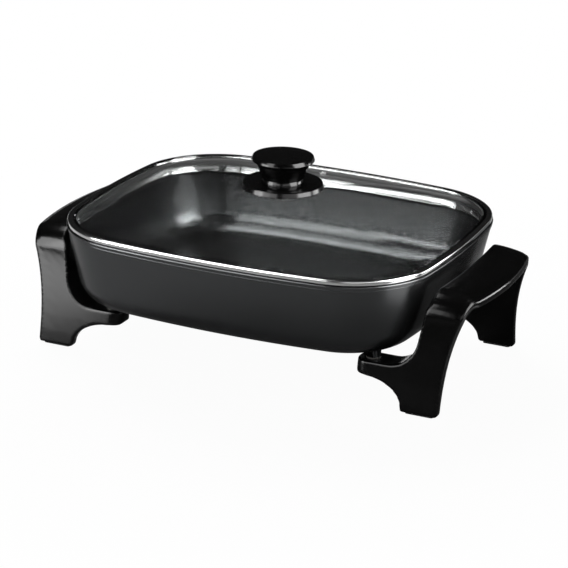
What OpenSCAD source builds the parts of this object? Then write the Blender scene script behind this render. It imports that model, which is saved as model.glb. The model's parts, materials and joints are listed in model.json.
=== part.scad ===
// Electric skillet: cast pan on two moulded handle-and-leg frames, with a lift-off glass lid.
// X runs along the long side, Y across it, Z up. The origin is on the table under the pan's middle.

/* [Pan] */
// Length of the pan over its lip
pan_l = 380; // [350:1:420]
// Width of the pan over its lip
pan_w = 324; // [300:1:350]
// Radius of the rounded corners in plan
corner_r = 88; // [80:1:100]
// Radius of the bowed long sides in plan
side_r = 990; // [800:10:1400]
// Radius of the bowed ends in plan
end_r = 860; // [700:10:1200]
// Height of the pan from its underside to its lip
pan_h = 77.5; // [70:0.5:90]
// Height of the pan's underside above the table
pan_clear = 53; // [50:0.5:60]
// Thickness of the pan's wall
wall_t = 3.2; // [2.6:0.1:4]
// Thickness of the pan's floor
floor_t = 5; // [4:0.1:7]
// Slope of the wall from upright, in degrees
draft = 12.5; // [8:0.5:15]
// Outer radius between wall and underside
base_r = 30; // [24:1:32]
// Width of the flat lip
lip_w = 7; // [6:0.1:8.5]
// Height of the lip's outer band
lip_h = 4.6; // [3:0.1:7]

/* [Heating element] */
// Diameter of the sheathed element
element_d = 7; // [6:0.1:8]
// Distance of the element loop inside the lip's outline
element_inset = 71; // [68:1:73]
// Distance between the two terminal pins
pin_pitch = 31; // [29:0.5:36]
// Diameter of a terminal pin
pin_d = 4.8; // [4:0.1:5.6]
// Length of a terminal pin's straight part, which the probe's sockets take
pin_l = 14; // [12:0.5:16]
// Diameter of the probe bore under the floor
probe_d = 6.8; // [6:0.1:8]

/* [Inlet guard] */
// Outer width of the guard
guard_w = 60; // [56:1:70]
// Outer height of the guard
guard_h = 25; // [23:0.5:26]
// How far the guard reaches outwards
guard_l = 31; // [28:1:36]
// Thickness of the guard's wall
guard_t = 2.5; // [2:0.1:3.5]

/* [Handle frames] */
// Width of a leg along X at the table
leg_w = 38; // [32:1:44]
// How far the legs stand out past the pan's lip
leg_out = 20; // [16:1:26]
// How far the handle reaches out past the pan's lip
grip_out = 47; // [42:1:54]
// Distance of the legs' outer faces inside the pan's width, at the table
leg_inset = 54; // [48:1:60]
// Inward lean of the legs, in degrees
leg_lean = 10; // [6:0.5:12]
// Thickness of the leg panels and the handle
panel_t = 9; // [8:0.5:10]
// Depth of the handle's top below the pan's lip
grip_drop = 15; // [12:0.5:20]
// Radius of the bend from leg to handle
bend_r = 26; // [20:1:30]
// How far the handle's top falls towards its outer edge
grip_crown = 6.5; // [3:0.5:9]
// How far the arms reach in from the pan's lip
arm_in = 67; // [60:1:70]
// Height of an arm at its inner end
arm_h = 13.5; // [12:0.5:16]
// Depth of an arm across, under the pan
arm_depth = 28; // [26:1:34]
// Radius of an arm's round end, seen from above
arm_end_r = 12; // [8:0.5:12.5]
// Radius of the inner curve from arm to leg
arm_curve_r = 28; // [22:1:30]
// Thickness of the web along an arm's top and a leg's inner edge
web_t = 3.6; // [3:0.1:4.5]

/* [Feet] */
// Thickness of a foot pad
pad_t = 4.2; // [3.4:0.1:6]
// Height of a leg's end above the table
foot_gap = 1.2; // [0.8:0.1:2]

/* [Lid] */
// Distance of the lid's edge inside the pan's lip
lid_inset = 1; // [0.5:0.1:2]
// Height of the steel ring's outer band
ring_h = 5; // [4.6:0.1:6.5]
// Thickness of the ring's sheet steel
ring_t = 0.7; // [0.5:0.05:0.8]
// Width of the ring's top flange
ring_w = 5.4; // [4.5:0.1:7]
// Depth of the ring's leg inside the pan
ring_leg = 12.4; // [10:0.1:15]
// Thickness of the glass
glass_t = 3.2; // [2.8:0.1:3.3]
// Rise of the glass dome
dome_h = 24; // [16:0.5:30]
// Height of the black seal under the glass
seal_h = 5; // [4:0.1:7]
// Distance of the steam vent from the lid's middle
vent_y = 98; // [80:1:110]

/* [Knob] */
// Diameter of the knob's top
knob_d = 61; // [52:1:70]
// Height of the knob above its shield
knob_h = 27; // [22:0.5:34]
// Diameter of the shield under the knob
shield_d = 80.4; // [74:0.2:90]
// Thickness of the shield
shield_t = 5.6; // [4:0.1:7]
// Thickness of the gasket between shield and glass
gasket_t = 4; // [2.5:0.1:5]

/* [Fit] */
// Gap between the lid and the pan's lip
lid_gap = 0.3; // [0.2:0.05:0.6]
// Clearance round a screw or pin in its hole
hole_play = 0.3; // [0.2:0.05:0.5]
// Clearance round pieces that are let into a recess
seat_play = 0.15; // [0.1:0.05:0.3]

/* [Hidden] */
$fn = 96;

// Room for cuts to run past what they cut
over = 1;
// Heights
rim_z = pan_clear + pan_h;
floor_z = pan_clear + floor_t;
// Half sizes of the lip's outline
half_l = pan_l / 2;
half_w = pan_w / 2;

// ---------------------------------------------------------------- plan outline of eight tangent arcs
side_c = [0, half_w - side_r];
end_c = [half_l - end_r, 0];
side_to_end = end_c - side_c;
centres_gap = norm(side_to_end);
toward_end = side_to_end / centres_gap;
along_gap = (pow(side_r - corner_r, 2) - pow(end_r - corner_r, 2) + pow(centres_gap, 2)) / (2 * centres_gap);
off_gap = sqrt(pow(side_r - corner_r, 2) - pow(along_gap, 2));
// Centre of the corner arc, where both bowed sides are tangent to it
tangent_c = side_c + along_gap * toward_end + off_gap * [toward_end.y, -toward_end.x];
// Arcs that meet share an angle of four places, and the rest follows from it, so their ends match exactly
side_a = snap(atan2(tangent_c.y - side_c.y, tangent_c.x - side_c.x), 4);
corner_c = side_c + (side_r - corner_r) * [cos(side_a), sin(side_a)];
end_a = snap(asin(corner_c.y / (end_r - corner_r)), 4);
end_arc_r = corner_r + corner_c.y / sin(end_a);
end_arc_c = [corner_c.x - (end_arc_r - corner_r) * cos(end_a), 0];

function snap(v, places) = round(v * pow(10, places)) / pow(10, places);
function arc(c, r, a0, a1, n) = [for (i = [0 : n]) c + r * [cos(a0 + (a1 - a0) * i / n), sin(a0 + (a1 - a0) * i / n)]];
function drop_last(v) = [for (i = [0 : len(v) - 2]) v[i]];
function turned(v) = [for (i = [len(v) - 1 : -1 : 0]) v[i]];

// Points of one quarter of the outline, moved inwards by inset
function quarter(inset, side_n, corner_n) = concat(
    drop_last(arc(end_arc_c, end_arc_r - inset, 0, end_a, side_n)),
    drop_last(arc(corner_c, corner_r - inset, end_a, side_a, corner_n)),
    arc(side_c, side_r - inset, side_a, 90, side_n));

// Points of the whole outline, moved inwards by inset
function outline(inset, side_n = 3, corner_n = 10) =
    let (q = quarter(inset, side_n, corner_n),
         half = concat(drop_last(q), [for (p = turned(q)) [-p.x, p.y]]))
    concat(drop_last(half), drop_last([for (p = turned(half)) [p.x, -p.y]]));

// Moves by a rounded part and its small remainder, which keeps more places than one move does
module move_to(p)
    translate([snap(p.x, 3), snap(p.y, 3)])
        translate([p.x - snap(p.x, 3), p.y - snap(p.y, 3)])
            children();

// Sweeps a section along one arc of the outline. In the section, x = 0 is the outline and -x is inwards
module along_arc(c, r, a0, a1)
    move_to(c)
        rotate_extrude(angle = a1 - a0, start = a0, $fn = 256)
            move_to([r, 0])
                children();

// Sweeps a section all round the outline
module along_outline() {
    for (sx = [0, 1], sy = [0, 1])
        mirror([sx, 0, 0])
            mirror([0, sy, 0])
                along_arc(corner_c, corner_r, end_a, side_a)
                    children();
    for (sy = [0, 1])
        mirror([0, sy, 0])
            along_arc(side_c, side_r, side_a, 180 - side_a)
                children();
    for (sx = [0, 1])
        mirror([sx, 0, 0])
            along_arc(end_arc_c, end_arc_r, -end_a, end_a)
                children();
}

// ---------------------------------------------------------------- pan
// The wall's outer line starts this far in, under the lip
lip_step = 1.2;
lip_round = 0.8;
lip_under = rim_z - lip_h;
function wall_x(z, deep) = -(lip_step + deep / cos(draft) + tan(draft) * (lip_under - z));
// Centre of the fillet of radius r between the wall, deep inside its outer line, and a floor
function fillet_c(deep, r, z) = [wall_x(z + r - r * sin(draft), deep) - r * cos(draft), z + r];
inner_r = base_r - wall_t;
outer_fillet = fillet_c(0, base_r, pan_clear);
inner_fillet = fillet_c(wall_t, inner_r, floor_z);
// Height at which the upright inside of the lip meets the sloping wall
lip_inner_z = lip_under - (lip_w - lip_step - wall_t / cos(draft)) / tan(draft);
// The swept part of the floor ends here, and a flat slab fills the middle
floor_ring = corner_r - 10;
slab_inset = floor_ring - 12;

module pan_section()
    polygon(concat(
        [[-lip_w, rim_z], [-lip_round, rim_z], [0, rim_z - lip_round], [0, lip_under + lip_step], [-lip_step, lip_under]],
        arc(outer_fillet, base_r, -draft, -90, 8),
        [[-floor_ring, pan_clear], [-floor_ring, floor_z]],
        turned(arc(inner_fillet, inner_r, -draft, -90, 8)),
        [[-lip_w, lip_inner_z]]));

// The element runs in a ridge under the floor
element_z = pan_clear - 5;
ridge_w = element_d + 6;
ridge_bottom = element_z - element_d / 2 - 2;
turn_r = 12;
// Where the loop's ends turn outwards, at the left end of the pan, on arcs that touch the end's arc
turn_span = end_arc_r - element_inset + turn_r;
turn_a = snap(asin((pin_pitch / 2 + turn_r) / turn_span), 4);
turn_c = [-end_arc_c.x - turn_span * cos(turn_a), turn_span * sin(turn_a)];
pin_y = turn_c.y - turn_r;
// The element's sheath ends here, outside the pan's fillet
sheath_end = half_l - 32;
ridge_end = half_l - 42;

// Sweeps a section along the element's loop and out along its straight ends, to -X
module along_element(ends) {
    for (sy = [0, 1])
        mirror([0, sy, 0]) {
            for (sx = [0, 1])
                mirror([sx, 0, 0])
                    along_arc(corner_c, corner_r, end_a, side_a)
                        children();
            mirror([1, 0, 0])
                along_arc(end_arc_c, end_arc_r, turn_a, end_a)
                    children();
            along_arc(turn_c, turn_r + element_inset, -90, -turn_a)
                children();
            move_to(turn_c)
                rotate([90, 0, -90])
                    linear_extrude(ends + turn_c.x)
                        move_to([turn_r + element_inset, 0])
                            children();
        }
    for (sy = [0, 1])
        mirror([0, sy, 0])
            along_arc(side_c, side_r, side_a, 180 - side_a)
                children();
    along_arc(end_arc_c, end_arc_r, -end_a, end_a)
        children();
}

module ridge_section()
    translate([-element_inset, 0])
        difference() {
            polygon([
                [-ridge_w / 2, pan_clear + over], [ridge_w / 2, pan_clear + over],
                [ridge_w / 2 - 1, ridge_bottom + 2], [ridge_w / 2 - 3, ridge_bottom],
                [-ridge_w / 2 + 3, ridge_bottom], [-ridge_w / 2 + 1, ridge_bottom + 2]]);
            translate([0, element_z])
                circle(d = element_d + 2 * seat_play, $fn = 24);
        }

// Extrudes a section drawn in Y and Z along X, from x0 to x1
module along_x(x0, x1)
    translate([x0, 0, 0])
        rotate([90, 0, 90])
            linear_extrude(x1 - x0)
                children();

// Boss with the bore that takes the control probe's sensor
probe_boss_d = probe_d + 6.4;
probe_mouth = half_l - 40;
probe_bore_l = 54;

module probe_boss()
    along_x(-probe_mouth, -probe_mouth + probe_bore_l + 6)
        union() {
            translate([0, element_z])
                circle(d = probe_boss_d);
            translate([-probe_boss_d / 2, element_z])
                square([probe_boss_d, pan_clear + over - element_z]);
        }

// Bosses for the arms' screws and for the guard's screws
boss_d = 14;
// An arm ends here, and its screw stands in the middle of its round end
arm_end = half_l - arm_in;
boss_x = arm_end + arm_depth / 2;
boss_y = half_w - leg_inset - 21;
spacer_t = 1.5;
boss_z = pan_clear - 9;
arm_top = boss_z - spacer_t;
screw_d = 5;
// How far the frames' screws reach into their bosses, and the room past their ends
screw_reach = 8;
screw_room = 1;
guard_boss_d = 9;
guard_boss_x = half_l - 38;
guard_boss_y = pin_y + 15;
tongue_t = 3;
tongue_top = ridge_bottom - 1.5;
guard_screw_d = 3.5;
guard_screw_reach = 7;

module at_frame_screws()
    for (sx = [-1, 1], sy = [-1, 1])
        translate([sx * boss_x, sy * boss_y, 0])
            children();

module at_guard_screws()
    for (s = [-1, 1])
        translate([-guard_boss_x, s * guard_boss_y, 0])
            children();

module pan_body()
    color("dimgray")
        difference() {
            union() {
                along_outline()
                    pan_section();
                translate([0, 0, pan_clear])
                    linear_extrude(floor_t)
                        polygon(outline(slab_inset, 2, 5));
                along_element(ridge_end)
                    ridge_section();
                probe_boss();
                at_frame_screws()
                    translate([0, 0, boss_z])
                        cylinder(d = boss_d, h = floor_z - boss_z - over);
                at_guard_screws()
                    translate([0, 0, tongue_top])
                        cylinder(d = guard_boss_d, h = floor_z - tongue_top - over);
            }
            translate([-probe_mouth, 0, element_z])
                rotate([0, 90, 0])
                    translate([0, 0, -over])
                        cylinder(d = probe_d, h = probe_bore_l + over);
            at_frame_screws()
                translate([0, 0, boss_z - over])
                    cylinder(d = screw_d, h = screw_reach + screw_room + over);
            at_guard_screws()
                translate([0, 0, tongue_top - over])
                    cylinder(d = guard_screw_d, h = guard_screw_reach + screw_room + over);
        }

module heating_element()
    color("silver")
        along_element(sheath_end)
            translate([-element_inset, element_z])
                circle(d = element_d, $fn = 24);

// ---------------------------------------------------------------- terminals and guard
bush_d = 9;
bush_l = 17;
bush_play = 0.05;
// A pin is thinner inside its bush, and its collar stands against the bush's end
pin_stem_d = pin_d - 1.4;
pin_collar_d = pin_d + 1.8;
pin_collar_t = 1.2;
pin_tip_l = 1.6;
guard_x = half_l - 20;
guard_end = guard_x + guard_l;
guard_round = 6;

// Points a revolved piece outwards from the left end, along -X
module facing_left(x, y, z)
    translate([-x, y, z])
        rotate([0, -90, 0])
            children();

module terminal_pins()
    color("gainsboro")
        for (s = [-1, 1])
            facing_left(sheath_end, s * pin_y, element_z) {
                low = bush_l + pin_collar_t;
                high = low + pin_l;
                rotate_extrude()
                    polygon([
                        [0, 0], [pin_stem_d / 2, 0], [pin_stem_d / 2, bush_l], [pin_collar_d / 2, bush_l],
                        [pin_collar_d / 2, low], [pin_d / 2, low], [pin_d / 2, high],
                        [pin_d / 2 - 0.9, high + pin_tip_l], [0, high + pin_tip_l]]);
            }

module pin_insulators()
    color("ivory")
        for (s = [-1, 1])
            facing_left(sheath_end, s * pin_y, element_z)
                rotate_extrude()
                    polygon([
                        [pin_stem_d / 2 + bush_play, 0], [bush_d / 2, 0], [bush_d / 2, bush_l - 1],
                        [bush_d / 2 - 1, bush_l], [pin_stem_d / 2 + bush_play, bush_l]]);

// A rectangle with round corners, centred on the origin
module rounded(w, h, r)
    union() {
        square([w - 2 * r, h], center = true);
        square([w, h - 2 * r], center = true);
        for (sx = [-1, 1], sy = [-1, 1])
            translate([sx * (w / 2 - r), sy * (h / 2 - r)])
                circle(r = r);
    }

module guard_outline(inset)
    translate([0, element_z])
        rounded(guard_w - 2 * inset, guard_h - 2 * inset, guard_round - inset);

module inlet_guard()
    color("black")
        difference() {
            union() {
                difference() {
                    along_x(-guard_end, -guard_x)
                        guard_outline(0);
                    along_x(-guard_end - over, -guard_x - guard_t)
                        guard_outline(guard_t);
                }
                // A lip strengthens the mouth
                difference() {
                    along_x(-guard_end, -guard_end + 3)
                        guard_outline(-1.2);
                    along_x(-guard_end - over, -guard_end + 3 + over)
                        guard_outline(guard_t);
                }
                // The tongue reaches back under the pan to the screws
                translate([-guard_x - guard_t, -guard_w / 2, tongue_top - tongue_t])
                    cube([guard_x + guard_t - guard_boss_x + 6, guard_w, tongue_t]);
                for (s = [-1, 1])
                    translate([-guard_x, s * (guard_w / 2 - 8) - 1.25, tongue_top - over])
                        cube([8, 2.5, 4 + over]);
            }
            for (s = [-1, 1])
                facing_left(guard_x - over, s * pin_y, element_z)
                    cylinder(d = bush_d + 2 * hole_play, h = guard_t + 2 * over);
            facing_left(guard_x - over, 0, element_z)
                cylinder(d = probe_d + 3, h = guard_t + 2 * over);
            at_guard_screws()
                translate([0, 0, tongue_top - tongue_t - over])
                    cylinder(d = guard_screw_d + 2 * hole_play, h = tongue_t + 2 * over);
        }

// A pan-head screw that stands on its head, with its seat at z = 0
module screw(d, l)
    difference() {
        rotate_extrude()
            polygon([
                [0, -0.6 * d], [0.62 * d, -0.6 * d], [0.86 * d, -0.42 * d], [0.92 * d, -0.15 * d],
                [0.92 * d, 0], [d / 2, 0], [d / 2, l - 0.2 * d], [0.3 * d, l], [0, l]]);
        for (a = [0, 90])
            rotate([0, 0, a])
                translate([-0.5 * d, -0.1 * d, -0.6 * d - over])
                    cube([d, 0.2 * d, 0.3 * d + over]);
    }

module inlet_screws()
    color("silver")
        at_guard_screws()
            translate([0, 0, tongue_top - tongue_t])
                screw(guard_screw_d - 0.1, tongue_t + guard_screw_reach);

// ---------------------------------------------------------------- handle frames
foot_x = half_l + leg_out;
grip_x = half_l + grip_out;
foot_y = half_w - leg_inset;
grip_z = rim_z - grip_drop;
// The leg's outer face runs along this line and bends into the handle's top
lean_n = [cos(leg_lean), sin(leg_lean)];
bend_z = grip_z - bend_r;
bend_y = (foot_y * lean_n.x - bend_r - bend_z * lean_n.y) / lean_n.x;
leg_top = bend_z + bend_r * lean_n.y;
// Inner edge of the handle, beside the pan
grip_in = half_l + 5;
// How far the outer edge has flared at the top of the leg and at the handle's corners
flare_leg = 14;
flare_corner = 21;
edge_r = 2.2;
// The handle's outer edge is rounded more than the rest
grip_edge_r = 4;

// A station is [y, z, ny, nz, inner x, outer x, crown, outer edge's radius] on one side of the frame
function leg_station(z) = let (k = max(z, 0) / leg_top)
    [foot_y - z * tan(leg_lean), z, lean_n.x, lean_n.y,
     grip_in - 90 + 84 * pow(k, 6), foot_x + flare_leg * pow(k, 2.6), 0.4 + 1.6 * k, edge_r];
function bend_station(k) = let (a = leg_lean + (90 - leg_lean) * k, y = bend_y + bend_r * cos(a))
    [y, bend_z + bend_r * sin(a), cos(a), sin(a),
     grip_in - 6 + 6 * min(1, 3 * k) - end_bow(y), foot_x + flare_leg + (flare_corner - flare_leg) * k,
     2 + (grip_crown - 2) * k, edge_r + (grip_edge_r - edge_r) * k];
function top_station(y) =
    [y, grip_z, 0, 1, grip_in - end_bow(y), grip_x - (grip_x - foot_x - flare_corner) * pow(y / bend_y, 2),
     grip_crown, grip_edge_r];
// How far the pan's bowed end falls back at a distance y from its middle
function end_bow(y) = y * y / (2 * end_r);

rear_stations = concat(
    [for (z = [-8, 14, 30, 44, 56, 67, 77, 86]) leg_station(z)],
    [for (k = [0 : 12]) bend_station(k / 12)],
    [for (k = [0.8, 0.6, 0.4, 0.2]) top_station(k * bend_y)]);
stations = concat(
    rear_stations,
    [top_station(0)],
    [for (s = turned(rear_stations)) [-s[0], s[1], -s[2], s[3], s[4], s[5], s[6], s[7]]]);

// Section across the strap, as [x, height above the face's line], with its four edges rounded
function edge_arc(x, z, r, a0) = arc([x, z], r, a0, a0 - 90, 4);
function strap_section(x0, x1, drop, r1) = let (r = edge_r, t = panel_t, w = x1 - x0)
    concat(
        edge_arc(x0 + r, -r, r, 180),
        [for (k = [0.25, 0.45, 0.65, 0.8]) [x0 + k * w, -drop * k * k]],
        edge_arc(x1 - r1, -drop - r1, r1, 90),
        edge_arc(x1 - r, -drop - t + r, r, 0),
        [for (k = [0.75, 0.5, 0.25]) [x0 + k * w, -drop * k * k - t]],
        edge_arc(x0 + r, -t + r, r, -90));

function strap_ring(s) =
    [for (p = strap_section(s[4], s[5], s[6], s[7])) [p[0], s[0] + s[2] * p[1], s[1] + s[3] * p[1]]];

// Skins rings of points, each with the same count, into a closed solid
module skin(rings) {
    n = len(rings);
    m = len(rings[0]);
    sides = [for (i = [0 : n - 2], j = [0 : m - 1]) let (k = (j + 1) % m)
        each [[i * m + j, (i + 1) * m + j, (i + 1) * m + k], [i * m + j, (i + 1) * m + k, i * m + k]]];
    polyhedron(
        points = [for (ring = rings, p = ring) p],
        faces = concat([[for (j = [0 : m - 1]) j]], sides, [[for (j = [m - 1 : -1 : 0]) (n - 1) * m + j]]));
}

// Side view of what is cut away above and below an arm, in X and Z
leg_in = foot_x - leg_w;
arm_bottom = arm_top - arm_h;
curve_a = 81;
curve_c = [leg_in - 17, arm_top + arm_curve_r];
edge_top = grip_z - 3;
cut_top = grip_z + 20;
cut_low = -20;

// The curve from an arm's top into the leg's inner edge and the straight edge above it, moved outwards
function inner_edge(out) =
    let (r = arm_curve_r + out, end = curve_c + r * [sin(curve_a), -cos(curve_a)])
    concat(arc(curve_c, r, -90, curve_a - 90, 14), [end + (edge_top - end.y) * [1 / tan(curve_a), 1]]);

module above_arm()
    polygon(concat(
        [[arm_end - 60, arm_top]], inner_edge(0), [[grip_in - 5, cut_top], [arm_end - 60, cut_top]]));

// Corners of an arm's end and of a leg's end, in the side view
arm_corner_r = 4;
leg_end_r = 3.5;
// The curve below an arm starts this far from its end
arch_start = 8;

module below_arm()
    polygon(concat(
        arc([arm_end + arm_corner_r, arm_bottom + arm_corner_r], arm_corner_r, 180, 270, 4),
        [for (i = [0 : 16]) let (a = 90 * i / 16)
            [arm_end + arch_start + (leg_in - arm_end - arch_start) * sin(a),
             foot_gap + leg_end_r + (arm_bottom - foot_gap - leg_end_r) * cos(a)]],
        arc([leg_in + leg_end_r, foot_gap + leg_end_r], leg_end_r, 180, 270, 4),
        [[leg_in + leg_end_r, cut_low], [arm_end - 60, cut_low], [arm_end - 60, arm_bottom + arm_corner_r]]));

module beside_leg_end()
    polygon(concat(
        arc([foot_x - leg_end_r, foot_gap + leg_end_r], leg_end_r, 0, -90, 4),
        [[foot_x - leg_end_r, cut_low], [foot_x + 20, cut_low], [foot_x + 20, foot_gap + leg_end_r]]));

// Rounds the upright edge at an arm's end, which leans as the leg's face does
module beside_arm_end()
    translate([arm_end, foot_y, 0])
        rotate([leg_lean, 0, 0])
            difference() {
                translate([-over, -arm_end_r, -over])
                    cube([arm_end_r + over, arm_end_r + over, arm_top + arm_end_r]);
                translate([arm_end_r, -arm_end_r, -2 * over])
                    cylinder(r = arm_end_r, h = arm_top + arm_end_r + 2 * over);
            }

// Extrudes a side view drawn in X and Z right through the frame
module through_frame()
    translate([0, half_w, 0])
        rotate([90, 0, 0])
            linear_extrude(2 * half_w)
                children();

arm_in_y = foot_y - arm_top * tan(leg_lean) - arm_depth;
arm_wall = 3.2;
seat_z = arm_bottom + 3.5;
rib_t = 2.4;
skin_t = 3.4;
// The walls of an arm's end stop here, where its web goes on alone
end_x = boss_x + boss_d / 2 + arm_wall;
// Middle of the leg's panel and its inner face, at the height of an arm's top
panel_mid_y = arm_in_y + arm_depth - panel_t / 2;
panel_in_y = arm_in_y + arm_depth - panel_t / lean_n.x;
// Beside the pan's wall the web is this much deeper than over the arm
web_room = 8;
pad_l = leg_w - 10;
pad_w = panel_t - 3.4;
pad_y = foot_y - panel_t / 2 - 1.2;

module foot_recess(play)
    translate([foot_x - leg_w / 2, pad_y, 0])
        linear_extrude(pad_t)
            rounded(pad_l + 2 * play, pad_w + 2 * play, pad_w / 2 + play - 0.2);

// Hollow under the handle's top, left open below, with ribs across it
module handle_core() {
    core_x = grip_in + 5;
    core_w = grip_x - 5.5 - core_x;
    fall = atan(grip_crown / (grip_x - grip_in));
    core_y = bend_y - 4;
    difference() {
        translate([core_x, -core_y, grip_z - skin_t])
            rotate([0, fall, 0])
                translate([0, 0, -20])
                    cube([core_w - 4, 2 * core_y, 20 - 0.6]);
        for (k = [-3 : 3])
            translate([core_x - over, k * core_y / 3.5 - rib_t / 2, grip_z - 40])
                cube([core_w + 2 * over, rib_t, 60]);
    }
}

// The web's side view, a band under the inner curve and edge
module web_side()
    polygon(concat(
        [[boss_x, arm_top + over]], inner_edge(-over), turned(inner_edge(web_t)), [[boss_x, arm_top - web_t]]));

// The web's depth behind the leg's panel, in Y and Z
module web_depth()
    polygon(concat(
        [[arm_in_y, arm_bottom], [foot_y - arm_bottom * tan(leg_lean) - panel_t / 2 / lean_n.x, arm_bottom]],
        arc([bend_y, bend_z], bend_r - panel_t / 2, leg_lean, 90, 8),
        [[arm_in_y - web_room, grip_z - panel_t / 2], [arm_in_y - web_room, pan_clear + 2 * web_room],
         [arm_in_y, pan_clear]]));

module web()
    intersection() {
        through_frame()
            web_side();
        along_x(arm_end, grip_x)
            web_depth();
    }

// Plan of an arm's end, moved inwards by inset and running on to x1 and y1
module end_plan(inset, x1, y1) {
    c = [arm_end + arm_end_r, arm_in_y + arm_end_r];
    translate(c)
        circle(r = arm_end_r - inset);
    translate([c.x, arm_in_y + inset])
        square([x1 - c.x, y1 - arm_in_y - inset]);
    translate([arm_end + inset, c.y])
        square([x1 - arm_end - inset, y1 - c.y]);
}

module arm_end_block()
    intersection() {
        translate([0, 0, arm_bottom - over])
            linear_extrude(arm_h + 2 * over)
                end_plan(0, end_x, panel_mid_y);
        through_frame()
            polygon([
                [arm_end - over, arm_bottom - 2 * over], [boss_x, arm_bottom - 2 * over],
                [end_x + over, arm_top - web_t], [end_x + over, arm_top + 2 * over],
                [arm_end - over, arm_top + 2 * over]]);
    }

// Hollow under an arm's end, left open below, with a boss for its screw and two ribs
module arm_core()
    translate([0, 0, -over])
        linear_extrude(arm_top - web_t + over)
            difference() {
                end_plan(arm_wall, end_x + 2 * over, panel_in_y - 1.2);
                translate([boss_x, boss_y])
                    circle(d = boss_d);
                translate([arm_end, boss_y - rib_t / 2])
                    square([boss_x - arm_end, rib_t]);
                translate([boss_x - rib_t / 2, arm_in_y])
                    square([rib_t, boss_y - arm_in_y]);
            }

module handle_frame()
    difference() {
        union() {
            skin([for (s = turned(stations)) strap_ring(s)]);
            for (sy = [0, 1])
                mirror([0, sy, 0]) {
                    web();
                    arm_end_block();
                }
        }
        through_frame()
            above_arm();
        through_frame()
            below_arm();
        through_frame()
            beside_leg_end();
        translate([arm_end - 100, -half_w, cut_low])
            cube([100, pan_w, cut_top - cut_low]);
        translate([arm_end - over, -half_w, cut_low])
            cube([grip_x, pan_w, foot_gap - cut_low]);
        handle_core();
        for (sy = [0, 1])
            mirror([0, sy, 0]) {
                beside_arm_end();
                arm_core();
                foot_recess(seat_play);
                translate([boss_x, boss_y, cut_low])
                    cylinder(d = screw_d + 2 * hole_play, h = arm_top - cut_low + over);
                translate([boss_x, boss_y, cut_low])
                    cylinder(d = 2 * screw_d + 1, h = seat_z - cut_low);
            }
    }

module right_handle_frame()
    color("black")
        handle_frame();

module left_handle_frame()
    color("black")
        mirror([1, 0, 0])
            handle_frame();

module frame_screws()
    color("silver")
        at_frame_screws()
            translate([0, 0, seat_z])
                screw(screw_d - 0.1, boss_z + screw_reach - seat_z);

// One heat-insulating washer between an arm and its boss
module spacer(sx, sy)
    color("tan")
        translate([sx * boss_x, sy * boss_y, arm_top])
            difference() {
                cylinder(d = boss_d, h = spacer_t);
                translate([0, 0, -over])
                    cylinder(d = screw_d + 2 * hole_play, h = spacer_t + 2 * over);
            }

// One rubber pad, let into the end of a leg
module foot(sx, sy)
    color("dimgray")
        mirror([sx < 0 ? 1 : 0, 0, 0])
            mirror([0, sy < 0 ? 1 : 0, 0])
                foot_recess(0);

// ---------------------------------------------------------------- lid
lid_z = rim_z + lid_gap;
ring_top = lid_z + ring_h;
// The ring's leg hangs this far inside the lid's edge, clear of the pan's lip
leg_inset_x = lip_w + 1.6 - lid_inset;
seat_glass_z = lid_z + ring_t + (ring_h - 2 * ring_t - glass_t) / 2;

module lid_ring()
    color("gainsboro")
        along_outline()
            translate([-lid_inset, 0])
                polygon([
                    [0, lid_z + 1], [0, ring_top - 1.3], [-0.35, ring_top - 0.45], [-1.3, ring_top],
                    [-ring_w, ring_top - 0.15], [-ring_w, ring_top - ring_t - 0.1], [-1.4, ring_top - ring_t],
                    [-ring_t, ring_top - 1.5], [-ring_t, lid_z + 1.1], [-1.1, lid_z + ring_t],
                    [-leg_inset_x - ring_t, lid_z + ring_t], [-leg_inset_x - ring_t, lid_z - ring_leg + 0.6],
                    [-leg_inset_x - 1.6 * ring_t, lid_z - ring_leg], [-leg_inset_x, lid_z - ring_leg],
                    [-leg_inset_x, lid_z], [-1, lid_z]]);

// A black ring lies against the leg, up to the underside of the glass
seal_top = seat_glass_z - lid_z - ring_t;
module lid_seal()
    color("black")
        along_outline()
            translate([-lid_inset - leg_inset_x - ring_t, lid_z + ring_t])
                polygon([[0, -seal_h], [0, seal_top], [-1.6, seal_top], [-1.9, -seal_h + 0.6], [-1.3, -seal_h]]);

// Height of the glass over the level k, from 1 at its edge to 0 in the middle
flat_k = 0.13;
function dome(k) = dome_h * (1 - pow(max(k, flat_k), 2.2));
edge_inset = lid_inset + ring_t + 0.8;
edge_land = 9;
dome_ks = [1, 0.93, 0.85, 0.75, 0.63, 0.5, 0.36, 0.24, flat_k];

function glass_ring(k, z) = [for (p = outline(edge_inset + edge_land)) [p.x * k, p.y * k, z]];
glass_rings = concat(
    [for (k = turned(dome_ks)) glass_ring(k, seat_glass_z + dome(k))],
    [[for (p = outline(edge_inset)) [p.x, p.y, seat_glass_z]]],
    [[for (p = outline(edge_inset)) [p.x, p.y, seat_glass_z + glass_t]]],
    [for (k = dome_ks) glass_ring(k, seat_glass_z + glass_t + dome(k))]);

apex_z = seat_glass_z + glass_t + dome(0);
knob_hole_d = 7;
vent_hole_d = 6;
vent_k = vent_y / (half_w - edge_inset - edge_land);
vent_slope = atan(2.2 * dome_h * pow(vent_k, 1.2) / (half_w - edge_inset - edge_land));
vent_z = seat_glass_z + glass_t + dome(vent_k);

// The skin runs from the middle of the underside out to the edge and back over the top to the middle
module lid_glass()
    color("lightcyan", 0.35)
        difference() {
            skin(turned(glass_rings));
            translate([0, 0, apex_z - 3 * glass_t])
                cylinder(d = knob_hole_d, h = 6 * glass_t);
            at_vent()
                translate([0, 0, -3 * glass_t])
                    cylinder(d = vent_hole_d, h = 6 * glass_t);
        }

module at_vent()
    translate([0, vent_y, vent_z])
        rotate([-vent_slope, 0, 0])
            children();

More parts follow.
